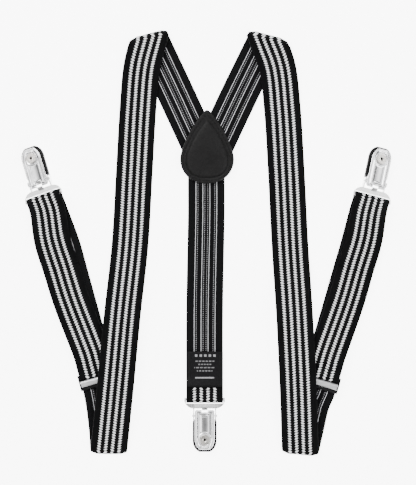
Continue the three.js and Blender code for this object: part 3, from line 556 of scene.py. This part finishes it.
def stitches(name, path, body, pitch=2.4, length=1.8, radius=0.2):
    """A row of stitches along a path of places in mm, each a short bead that dips in at both ends."""
    path = np.array(path, float)
    run = np.concatenate([[0], np.cumsum(np.linalg.norm(np.diff(path, axis=0), axis=1))])
    places, faces = [], []
    sides, rings = 6, (-0.5, -0.42, -0.2, 0.2, 0.42, 0.5)
    for middle in np.arange(pitch / 2, run[-1], pitch):
        at = np.array([np.interp(middle, run, path[:, k]) for k in range(3)])
        ahead = np.array([np.interp(min(middle + 0.4, run[-1]), run, path[:, k]) for k in range(3)])
        behind = np.array([np.interp(max(middle - 0.4, 0), run, path[:, k]) for k in range(3)])
        along = unit(ahead - behind)
        side = unit(np.cross((0, 0, 1), along))
        up = np.cross(along, side)
        start = len(places)
        for ring in rings:
            dip = 1 - (2 * abs(ring)) ** 3
            for k in range(sides):
                angle = 2 * math.pi * k / sides
                spread = radius * (0.35 + 0.65 * dip)
                places.append((at + along * ring * length + side * spread * math.cos(angle)
                               + up * (spread * math.sin(angle) - radius * (1 - dip))) * MM)
        for r in range(len(rings) - 1):
            for k in range(sides):
                a, b = start + r * sides + k, start + r * sides + (k + 1) % sides
                faces.append((a, b, b + sides, a + sides))
        end = start + (len(rings) - 1) * sides
        faces += [tuple(start + k for k in reversed(range(sides))), tuple(end + k for k in range(sides))]
    row = new_mesh(name, places, faces, [THREAD])
    fix_winding(row)
    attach(row, body)
    return row


def across_row(at, direction, height):
    side = np.array([direction[1], -direction[0], 0])
    half = WEB_WIDTH / 2 - 1.2
    middle = np.array([*at[:2], height]) + LAYOUT
    return [middle - side * half, middle + side * half]


def row_near(stations, distance_from_end):
    """A row across the webbing, this far back from the last of its stations, on its face."""
    at, across, _ = stations[-1 - round(distance_from_end / STATION_PITCH)]
    half = WEB_WIDTH / 2 - 1.0
    middle = at + LAYOUT + np.array([0, 0, HALF + STITCH_LIFT])
    return [middle - across * half, middle + across * half]


stitches("back_strap_stitches", row_near(return_ply, LABEL_LENGTH + 1.6), "straps")
for side, lay in FRONT_STRAPS.items():
    turn = math.radians(lay["adjuster_turn"])
    toward = (-math.sin(turn), math.cos(turn))
    x, y = lay["adjuster"]
    distance = SEWN_FOLD + SEWN_LENGTH - STITCH_INSET
    at = (x + toward[0] * distance, y + toward[1] * distance)
    stitches(f"{side}_sewn_stitches", across_row(at, toward, SEWN_TOP + HALF + STITCH_LIFT),
             f"{side}_adjuster", pitch=2.1, length=1.95, radius=0.34)


# ---- Label ----
# A strip of black satin tape as wide as the strap, sewn over the webbing's raw end. It is woven with
# plain grey bars and a row of small squares, which stand for the printed care marks.

LABEL_HALF_THICKNESS = 0.2
LABEL_WARP, LABEL_WEFT = 0.3, 0.42  # from one thread to the next
LABEL_BLUR = 0.12  # how softly the marks end
# Each row: from, to along the tape, dash length, share of the dash that is light, half width, strength.
LABEL_ROWS = ((2.0, 3.5, 3.1, 0.55, 7.6, 0.5), (6.2, 6.9, 2.3, 0.74, 6.6, 0.32),
              (8.4, 9.1, 1.9, 0.7, 4.4, 0.32), (10.6, 11.3, 2.6, 0.76, 7.0, 0.32),
              (12.8, 13.5, 2.1, 0.7, 5.2, 0.32), (17.4, 18.2, 14.0, 1.0, 6.4, 0.6))


def label_material():
    maker = Maker("label tape", roughness=0.55)
    maker.set("Specular IOR Level", 0.08)
    across, along = maker.weave()
    threads = maker.sum("SINE", maker.sum("MULTIPLY", across, 2 * math.pi / LABEL_WARP))
    weft = maker.sum("SINE", maker.sum("MULTIPLY_ADD", along, 2 * math.pi / LABEL_WEFT, threads))
    cloth = maker.sum("MULTIPLY_ADD", weft, 0.5, 0.5)

    def band(value, low, high):
        return maker.sum("MULTIPLY", maker.ramp(value, low - LABEL_BLUR, low),
                         maker.ramp(value, high + LABEL_BLUR, high))

    marks = None
    for low, high, dash, light, half, strength in LABEL_ROWS:
        beat = maker.sum("FRACT", maker.sum("DIVIDE", maker.sum("ADD", across, 50), dash))
        row = maker.sum("MULTIPLY", band(along, low, high), band(across, -half, half))
        row = maker.sum("MULTIPLY", row, maker.ramp(beat, light + 0.04, light - 0.04))
        row = maker.sum("MULTIPLY", row, strength)
        marks = row if marks is None else maker.sum("MAXIMUM", marks, row)
    # The tape and its marks are painted darker in the hollows of the weave: painted shade.
    marks = maker.sum("MULTIPLY", marks, maker.ramp(cloth, 0, 0.7, 0.6, 1))
    dark = maker.blend(cloth, (0.0012, 0.0012, 0.0014), (0.007, 0.007, 0.0078))
    maker.set("Base Color", maker.blend(marks, dark, (0.55, 0.55, 0.57)))
    maker.set("Roughness", maker.ramp(cloth, 0, 1, 0.38, 0.55))
    maker.bump(maker.sum("MULTIPLY_ADD", marks, 0.5, maker.sum("MULTIPLY", cloth, 0.4)), 0.1 * MM, 0.6)
    return maker.material


label_rise = HALF + CLEARANCE + LABEL_HALF_THICKNESS
label_points = [(x, y, z + label_rise) for x, y, z in return_points]
label_ply = [s for s in ply(label_points, -1, 1.0) if s[0][1] > back_y + LABEL_START][::-1]
label_ply = [(at, -across, skew) for at, across, skew in label_ply]
label_half, label_top = WEB_WIDTH / 2 - 0.1, -LABEL_HALF_THICKNESS
flat_half, edge_height = label_half - 0.3, label_top * 0.6
label_outline = [(-label_half, edge_height), (-flat_half, label_top), (0, label_top), (flat_half, label_top),
                 (label_half, edge_height), (label_half, -label_top), (-label_half, -label_top)]
label, label_run = webbing("label_tape", placed(label_ply), profile=(label_outline, len(label_outline) - 2),
                           materials=[label_material()] * 2)
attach(label, "straps")
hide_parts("label")
for end, at in (("top", label_ply[1][0]), ("foot", label_ply[-2][0])):
    stitches(f"label_{end}_stitches", across_row(at, (0, 1), at[2] + LABEL_HALF_THICKNESS), "straps",
             pitch=1.9, length=1.4, radius=0.16)


# ---- Leather patch ----
# Two teardrops of black leather, sewn together over the three straps. The upper one is moulded over a
# filler, so it stands up in the middle inside a flat stitched rim.

def leather_material():
    maker = Maker("patch leather", roughness=0.5, Coat_Weight=0.03, Coat_Roughness=0.3)
    maker.set("Specular IOR Level", 0.15)
    place = maker.node("ShaderNodeTexCoord", output=3)
    grain = {"Vector": place, "Scale": 950.0}
    cells = maker.node("ShaderNodeTexVoronoi", grain, feature="DISTANCE_TO_EDGE")
    pores = maker.noise(2600, 2, place)
    creases = maker.ramp(cells, 0.0, 0.16)
    cloud = maker.noise(70, 4, place)
    # The leather is painted darker in the creases of its grain: painted shade. The cloud varies its tone at
    # random.
    tone = maker.sum("MULTIPLY", maker.ramp(cloud, 0.3, 0.7, 0.55, 1), maker.ramp(creases, 0, 1, 0.6, 1))
    maker.set("Base Color", maker.blend(tone, (0.0012, 0.0012, 0.0012), (0.0062, 0.006, 0.006)))
    maker.set("Roughness", maker.ramp(cloud, 0.3, 0.75, 0.42, 0.6))
    height = maker.sum("MULTIPLY_ADD", pores, 0.25, creases)
    maker.bump(height, 0.16 * MM, 0.75)
    return maker.material


LEATHER = leather_material()
PATCH_LENGTH, PATCH_HALF_WIDTH, PATCH_WIDEST = 50, 18.3, 16.5
TIP_BLUNTNESS = 0.2
SEAM_INSET = 2.0


def bezier(start, *controls, steps=18):
    t = np.linspace(0, 1, steps, endpoint=False)[:, None]
    a, b, c, d = (np.array(p, float) for p in (start, *controls))
    return list(a * (1 - t) ** 3 + 3 * b * t * (1 - t) ** 2 + 3 * c * t ** 2 * (1 - t) + d * t ** 3)


def teardrop(inset):
    half, tip, widest = PATCH_HALF_WIDTH - inset, PATCH_LENGTH - 1.9 * inset, PATCH_WIDEST
    shoulder = widest + 0.3 * (tip - widest)
    right = bezier((0, inset), (0.62 * half, inset), (half, 0.45 * widest), (half, widest))
    right += bezier((half, widest), (half, shoulder), (TIP_BLUNTNESS * half, tip), (0, tip))
    left = [np.array([-x, y]) for x, y in right[1:]] + [np.array([0.0, tip])]
    return right + left[::-1]


# From the outer edge inwards: how far in, and how high above the leather's lower face.
RIM_HEIGHT = 1.2
MOULDING = ((0.12, 0.0), (0.0, 0.25), (0.0, 0.8), (0.3, 1.13), (0.8, RIM_HEIGHT), (2.4, RIM_HEIGHT),
            (2.9, 1.12), (3.3, 0.9), (3.6, 0.85), (3.9, 1.1), (4.3, 1.5), (5.0, 1.85), (6.4, 2.12),
            (8.5, 2.3), (11.0, 2.42), (13.6, 2.47))
LINING = ((0.1, 0.0), (0.0, 0.2), (0.0, 0.8), (0.15, 1.0), (1.0, 1.0), (9.0, 1.0))
patch_middle = patch_low[0] / 2 + patch_high[0] / 2


def patch_piece(name, moulding, base):
    foot = np.array([patch_middle, patch_low[1], base])
    places, faces, n = [], [], len(teardrop(0))
    for inset, rise in moulding:
        places += [(foot + np.array([x, y, rise])) * MM for x, y in teardrop(inset)]
    for ring in range(len(moulding) - 1):
        for k in range(n):
            a, b = ring * n + k, ring * n + (k + 1) % n
            faces.append((a, b, b + n, a + n))
    last = (len(moulding) - 1) * n
    middle = teardrop(moulding[-1][0])
    centre = np.array([0, (middle[0][1] + middle[n // 2][1]) / 2, moulding[-1][1] + 0.01])
    places.append((foot + centre) * MM)
    faces += [(last + k, last + (k + 1) % n, len(places) - 1) for k in range(n)]
    faces.append(tuple(reversed(range(n))))
    obj = new_mesh(name, places, faces, [LEATHER])
    obj.data.polygons[-1].use_smooth = False
    fix_winding(obj)
    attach(obj, "straps")
    return obj


upper_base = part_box("patch_top")[0][2] / MM
upper = patch_piece("patch_leather", MOULDING, upper_base)
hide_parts("patch_top", "patch_dome")
lower = patch_piece("patch_lining", LINING, 0.0)
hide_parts("patch_backing")
seam_foot = np.array([patch_middle, patch_low[1], upper_base + RIM_HEIGHT])
seam = [seam_foot + np.array([x, y, 0]) for x, y in teardrop(SEAM_INSET)]
stitches("patch_stitches", seam + seam[:1], "straps", pitch=2.3, length=1.75, radius=0.17)


# ---- Clips ----
# Each is a pressed steel bail with cheeks and a rear plate, and a lever that snaps down over a pin. The
# steel is nickel plated, polished on the lever and satin on the bail. Black moulded pads line both jaws,
# and a turned ring rivets the upper pad in place.

def polished(name, colour, roughness, scratch):
    maker = Maker(name, colour, roughness, 1.0)
    place = maker.node("ShaderNodeTexCoord", output=3)
    haze = maker.noise(160, 4, place)
    stretched = maker.node("ShaderNodeMapping", {"Vector": place, "Scale": (4000, 320, 4000)})
    lines = maker.noise(1.0, 2, stretched)
    wear = maker.sum("MULTIPLY_ADD", lines, 0.5, maker.sum("MULTIPLY", haze, 0.5))
    maker.set("Roughness", maker.ramp(wear, 0.3, 0.7, roughness * 0.7, roughness * 1.5))
    darker = tuple(c * 0.86 for c in colour)
    maker.set("Base Color", maker.blend(maker.ramp(haze, 0.35, 0.7), darker, colour))
    maker.bump(lines, 0.02 * MM, scratch)
    return maker.material


def moulded():
    maker = Maker("jaw pad", roughness=0.6)
    maker.set("Specular IOR Level", 0.25)
    grain = maker.noise(1800, 3)
    maker.set("Base Color", maker.blend(grain, (0.003, 0.003, 0.003), (0.012, 0.012, 0.0125)))
    maker.set("Roughness", maker.ramp(grain, 0.3, 0.7, 0.48, 0.7))
    maker.bump(grain, 0.06 * MM, 0.5)
    return maker.material


def finish_node(node, material, width):
    """Gives a CAD node its material, with its pressed edges rounded off."""
    obj = frame["nodes"][node]
    obj.data.materials.clear()
    obj.data.materials.append(material)
    edge = obj.modifiers.new("rounded edges", "BEVEL")
    edge.width = width * MM
    edge.segments = 2
    edge.limit_method = "ANGLE"
    edge.angle_limit = math.radians(35)


# From the bail's bar, along the clip: the lever's top edge, the start of its rounded tip, and its tip.
LEVER_TOP, LEVER_BEND, LEVER_TIP = 7.4, 26.8, 34.2
LEVER_HALF, LEVER_TIP_HALF, LEVER_CHAMFER = 6.75, 3.2, 0.8
LEVER_FACE, LEVER_UNDERSIDE, LEVER_HEM, SHEET = 3.3, 2.5, 1.4, 0.8  # heights above the bar, and thickness
PIVOT_Y, PIVOT_Z, LUG_RADIUS = 11.3, 1.0, 1.7
RING_Y, RING_RADIUS, RING_HOLE = 27.6, 3.5, 1.7
NOTCH_HALF, NOTCH_DEPTH = 2.2, 1.4
ROLL_WIDTH, ROLL_DROP = 1.1, 0.35
PANEL_HALF, PANEL_DEPTH, PANEL_CROWN = 3.1, 0.38, 0.035
# Pressed lines: how far in from the lever's edge, or out from the ring, then how wide and how high.
BEAD, GROOVE, COLLAR = (2.3, 0.55, 0.55), (1.25, 0.3, -0.3), (0.9, 0.4, 0.3)


def lever_half_width(y):
    t = np.linspace(0, 1, 40)
    curve_x = (1 - t) ** 2 * LEVER_HALF + 2 * t * (1 - t) * (LEVER_HALF - 0.4) + t ** 2 * LEVER_TIP_HALF
    curve_y = (1 - t) ** 2 * LEVER_BEND + 2 * t * (1 - t) * (LEVER_TIP - 2) + t ** 2 * LEVER_TIP
    at_top = LEVER_HALF - max(0.0, LEVER_TOP + LEVER_CHAMFER - y)
    return at_top if y < LEVER_BEND else float(np.interp(y, curve_y, curve_x))


def rising(value, width):
    return min(max(value / width, 0), 1)


def pressed_line(distance, at, width, height):
    return height * math.exp(-((distance - at) / width) ** 2)


def lever_height(x, y, top):
    """The pressed face: rolled edges, a raised bead inside them, a dished panel and a seat for the ring."""
    slope = (lever_half_width(y + 0.1) - lever_half_width(y - 0.1)) / 0.2 if y < LEVER_TIP - 0.2 else -2.0
    edge = min((lever_half_width(y) - abs(x)) / math.hypot(1, slope), LEVER_TIP - y, y - top)
    rolled = rising(edge, ROLL_WIDTH)
    height = ROLL_DROP * math.sqrt(1 - (1 - rolled) ** 2) - ROLL_DROP
    height += pressed_line(edge, *BEAD)
    height += pressed_line(edge, *GROOVE)
    panel = rising(PANEL_HALF - abs(x), 0.7) * rising(RING_Y - RING_RADIUS - 0.8 - y, 1.2)
    height -= panel * (PANEL_DEPTH - PANEL_CROWN * x * x)
    ring = math.hypot(x, y - RING_Y)
    collar = pressed_line(ring - RING_RADIUS, *COLLAR)
    return (height + collar) * rising(ring - RING_RADIUS, 0.7)


def lever(side):
    origin, pivot = (np.array(joints[f"{side}_clip_{name}"]["pos_m"]) / MM for name in ("swing", "opening"))
    across = unit(np.array(joints[f"{side}_clip_swing"]["axis"]))
    reach = pivot - origin
    tilt = math.atan2(PIVOT_Z, PIVOT_Y)
    toward = unit(reach - across * np.dot(reach, across))
    normal = np.cross(across, toward)
    forward = toward * math.cos(tilt) - normal * math.sin(tilt)
    up = np.cross(across, forward)
    places, faces = [], []

    def place(x, y, z):
        places.append((origin + across * x + forward * y + up * z) * MM)

    # Shares of the half width, with a narrow step at each side of the notch.
    beside = np.linspace(0.345, 1, 24)
    columns = np.concatenate([-beside[::-1], np.linspace(-0.31, 0.31, 21), beside])
    rows = np.linspace(0, 1, 90)
    for layer in (1, 0):
        for share in rows:
            for column in columns:
                top = LEVER_TOP + (NOTCH_DEPTH if abs(column) * LEVER_HALF < NOTCH_HALF else 0)
                y = top + share * (LEVER_TIP - top)
                x = column * lever_half_width(y)
                place(x, y, LEVER_FACE + lever_height(x, y, top) if layer else LEVER_UNDERSIDE)
    width, size = len(columns), len(columns) * len(rows)
    hole_edges = set()
    hole = origin + forward * RING_Y + up * LEVER_UNDERSIDE
    for r in range(len(rows) - 1):
        for c in range(width - 1):
            a = r * width + c
            face = (a, a + 1, a + width + 1, a + width)
            if np.linalg.norm(places[size + a + width + 1] / MM - hole) < RING_HOLE:
                hole_edges.update(zip(face, face[1:] + face[:1]))
            else:
                faces += [face, tuple(size + k for k in reversed(face))]
    for a, b in hole_edges:
        if (b, a) not in hole_edges:
            faces.append((a, b, size + b, size + a))
    rim = [*range(width), *(r * width + width - 1 for r in range(1, len(rows))),
           *((len(rows) - 1) * width + c for c in reversed(range(width - 1))),
           *(r * width for r in reversed(range(1, len(rows) - 1)))]
    for a, b in zip(rim, rim[1:] + rim[:1]):
        faces.append((b, a, size + a, size + b))
    # Its side walls come down round the pin as two lugs.
    arc = [(PIVOT_Y + LUG_RADIUS * math.cos(a), PIVOT_Z + LUG_RADIUS * math.sin(a))
           for a in np.linspace(math.pi, 2 * math.pi, 13)]
    wall = [(LEVER_TOP + LEVER_CHAMFER, LEVER_UNDERSIDE + 0.2), *arc, (PIVOT_Y + LUG_RADIUS, LEVER_HEM),
            (LEVER_BEND - 1, LEVER_HEM), (LEVER_BEND, LEVER_UNDERSIDE + 0.2)]
    for x0 in (-LEVER_HALF + 0.02, LEVER_HALF - SHEET - 0.02):
        start, n = len(places), len(wall)
        for x in (x0, x0 + SHEET):
            for y, z in wall:
                place(x, y, z)
        faces += [tuple(start + k for k in range(n)), tuple(start + n + k for k in reversed(range(n)))]
        faces += [(start + k, start + n + k, start + n + (k + 1) % n, start + (k + 1) % n) for k in range(n)]
    obj = new_mesh(f"{side}_lever_pressing", places, faces, [CHROME])
    for polygon in obj.data.polygons[-2 * (len(wall) + 2):]:
        polygon.use_smooth = False
    fix_winding(obj)
    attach(obj, f"{side}_clip_jaw")
    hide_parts(f"{side}_clip_lever")


CHROME = polished("nickel plate", (0.87, 0.87, 0.88), 0.13, 0.2)
BAIL_PLATE = polished("bail plate", (0.9, 0.9, 0.9), 0.34, 0.2)
RING = polished("ring steel", (0.74, 0.71, 0.67), 0.28, 0.3)
PAD = moulded()
CLIP_FINISHES = {"base": (BAIL_PLATE, 0.35), "rear_rivet": (CHROME, 0.08), "pin": (CHROME, 0.1),
                 "rear_pad": (PAD, 0.2), "front_pad": (PAD, 0.12), "eyelet": (RING, 0.1)}
for side in ("left", "right", "back"):
    for piece, (material, width) in CLIP_FINISHES.items():
        finish_node(f"{side}_clip_{piece}", material, width)
    lever(side)


# ---- Adjusters ----
# A black lacquered frame on the webbing, with a toothed steel lever that presses the webbing flat. The
# lever's face is brushed across the webbing, and a plain pin holds it in the frame.

def brushed():
    maker = Maker("brushed steel", (0.6, 0.6, 0.61), 0.35, 1.0)
    place = maker.node("ShaderNodeTexCoord", output=3)
    stretched = maker.node("ShaderNodeMapping", {"Vector": place, "Scale": (260, 7000, 2000)})
    lines = maker.noise(1.0, 3, stretched)
    maker.set("Base Color", maker.blend(lines, (0.48, 0.48, 0.49), (0.72, 0.72, 0.73)))
    maker.set("Roughness", maker.ramp(lines, 0.3, 0.7, 0.28, 0.5))
    maker.bump(lines, 0.03 * MM, 0.5)
    return maker.material


def lacquer():
    maker = Maker("black lacquer", (0.004, 0.004, 0.0044), 0.5, Coat_Weight=0.05, Coat_Roughness=0.3)
    maker.set("Specular IOR Level", 0.12)
    chips = maker.noise(300, 5)
    maker.set("Roughness", maker.ramp(chips, 0.4, 0.7, 0.42, 0.6))
    maker.bump(maker.noise(1200, 2), 0.03 * MM, 0.4)
    return maker.material


ADJUSTER_FINISHES = {"frame": (lacquer(), 0.25), "lever": (brushed(), 0.3), "pin": (CHROME, 0.1)}
for side in ("left", "right"):
    for piece, (material, width) in ADJUSTER_FINISHES.items():
        finish_node(f"{side}_adjuster_{piece}", material, width)


# ---- Floor, light and camera ----
# A matt white table top, lit from within so that shadows on it stay faint, under a broad ring of soft
# light and two large lamps. The camera hangs high above it and looks straight down through a long lens.

FLOOR_HALF, FLOOR_GAP = 2, 0.0002  # in metres
floor_paint = Maker("floor", (0.92, 0.92, 0.925), 0.9, Emission_Color=(1, 1, 1, 1), Emission_Strength=7.0)
corners = [(x * FLOOR_HALF, y * FLOOR_HALF, 0) for x, y in ((-1, -1), (1, -1), (1, 1), (-1, 1))]
floor = new_mesh("floor", corners, [(0, 1, 2, 3)], [floor_paint.material])
floor.location.z = cad_bounds[0][2] - FLOOR_GAP
floor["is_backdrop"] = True

# How bright the sky is, against the sine of the height above the horizon.
RING_OF_LIGHT = ((0.5, 0.05), (0.66, 0.4), (0.82, 1.0), (0.94, 0.36))
HORIZON, OVERHEAD, SKY_STRENGTH = 0.04, 0.09, 3.2

world = bpy.data.worlds.new("soft white")
world.use_nodes = True
sky, backdrop = world.node_tree, world.node_tree.nodes["Background"]
aim = sky.nodes.new("ShaderNodeTexCoord")
split = sky.nodes.new("ShaderNodeSeparateXYZ")
rise = sky.nodes.new("ShaderNodeMapRange")
rise.inputs["To Max"].default_value = SKY_STRENGTH
levels = sky.nodes.new("ShaderNodeValToRGB")
for height, level in RING_OF_LIGHT:
    levels.color_ramp.elements.new(height).color = (level, level, level, 1)
for end, level in ((0, HORIZON), (-1, OVERHEAD)):
    levels.color_ramp.elements[end].color = (level, level, level, 1)
sky.links.new(aim.outputs["Generated"], split.inputs[0])
sky.links.new(split.outputs["Z"], levels.inputs["Fac"])
sky.links.new(levels.outputs["Color"], rise.inputs["Value"])
sky.links.new(rise.outputs[0], backdrop.inputs["Strength"])
backdrop.inputs["Color"].default_value = (1, 1, 1, 1)
bpy.context.scene.world = world


def soft_light(name, place, size, power):
    lamp = bpy.data.lights.new(name, "AREA")
    lamp.energy, lamp.size = power, size
    obj = bpy.data.objects.new(name, lamp)
    obj.location = place
    obj.rotation_euler = (-Vector(place)).to_track_quat("-Z", "Y").to_euler()
    bpy.context.scene.collection.objects.link(obj)


soft_light("key", (-0.5, 0.7, 1.0), 0.7, 15)
soft_light("fill", (0.8, -0.3, 0.9), 0.8, 7)

CAMERA_X, CAMERA_Y, CAMERA_HEIGHT = -0.48, 0.54, 3000  # from the layout's middle, in mm
LONG_LENS = 327.5

camera = bpy.data.objects.new("camera", bpy.data.cameras.new("camera"))
camera.data.lens = LONG_LENS
camera.data.clip_end = 20
camera.location = Vector((LAYOUT[0] + CAMERA_X, LAYOUT[1] + CAMERA_Y, CAMERA_HEIGHT)) * MM
bpy.context.scene.collection.objects.link(camera)
bpy.context.scene.camera = camera

[[list(corner) for corner in box] for box in (cad_bounds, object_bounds())]
